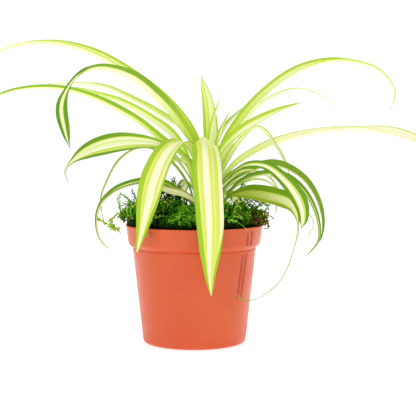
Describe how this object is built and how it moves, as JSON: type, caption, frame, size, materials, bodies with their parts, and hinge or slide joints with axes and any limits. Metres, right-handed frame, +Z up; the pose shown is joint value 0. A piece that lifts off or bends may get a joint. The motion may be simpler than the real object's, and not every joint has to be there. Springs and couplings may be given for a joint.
{
  "type": "potted spider plant",
  "caption": "Variegated spider plant with long arching striped leaves, growing through moss in a small terracotta-coloured plastic nursery pot",
  "frame": {"origin": "centre of the pot's underside, on the pot's axis, on the surface it stands on", "axes": "+Z up along the pot's axis, +X to the plant's right, along its widest spread of leaves, -Y to its front"},
  "size_m": [0.3866, 0.147, 0.236],
  "materials": {
    "pot": "satin injection-moulded terracotta-orange plastic",
    "soil": "moist dark peat",
    "crown": "pale fleshy plant tissue",
    "moss": "matt fibrous green moss",
    "dark_moss": "matt dark moss in shade",
    "bark": "rough brown bark fibre",
    "young_leaf": "satin waxy lime green and cream stripes",
    "mature_leaf": "satin waxy green margins, cream middle",
    "pale_leaf": "satin translucent pale yellow green",
    "withered_leaf": "dull beige and olive old leaf"
  },
  "bodies": {
    "root": {"pot": "pot", "soil": "soil", "crown": "crown", "moss_front": "moss", "moss_front_left": "dark_moss", "moss_left": "moss", "moss_back_left": "dark_moss", "moss_back": "moss", "moss_back_right": "dark_moss", "moss_right": "moss", "moss_front_right": "moss", "bark_chip": "bark", "leaf_high_left": "young_leaf", "leaf_left_twisted": "mature_leaf", "leaf_left_slim_back": "young_leaf", "leaf_left_middle": "young_leaf", "leaf_left_long": "mature_leaf", "leaf_left_broad": "mature_leaf", "leaf_left_slim_hanging": "pale_leaf", "leaf_left_low": "mature_leaf", "leaf_left_withered": "withered_leaf", "leaf_front_left": "young_leaf", "leaf_front": "young_leaf", "leaf_centre": "young_leaf", "leaf_centre_right": "young_leaf", "leaf_centre_small": "young_leaf", "leaf_high_right": "young_leaf", "leaf_right_short": "young_leaf", "leaf_right_slim_back": "pale_leaf", "leaf_right_pointed": "young_leaf", "leaf_right_bent": "pale_leaf", "leaf_right_long": "pale_leaf", "leaf_right_outer": "mature_leaf", "leaf_right_striped": "mature_leaf", "leaf_right_stub": "withered_leaf", "leaf_right_low": "mature_leaf", "leaf_right_inner": "mature_leaf", "leaf_right_kinked": "pale_leaf", "leaf_right_pale": "pale_leaf", "leaf_right_arc": "pale_leaf", "leaf_back": "young_leaf", "leaf_back_left": "mature_leaf", "leaf_back_low": "mature_leaf", "leaf_back_right": "mature_leaf"}
  },
  "joints": []
}
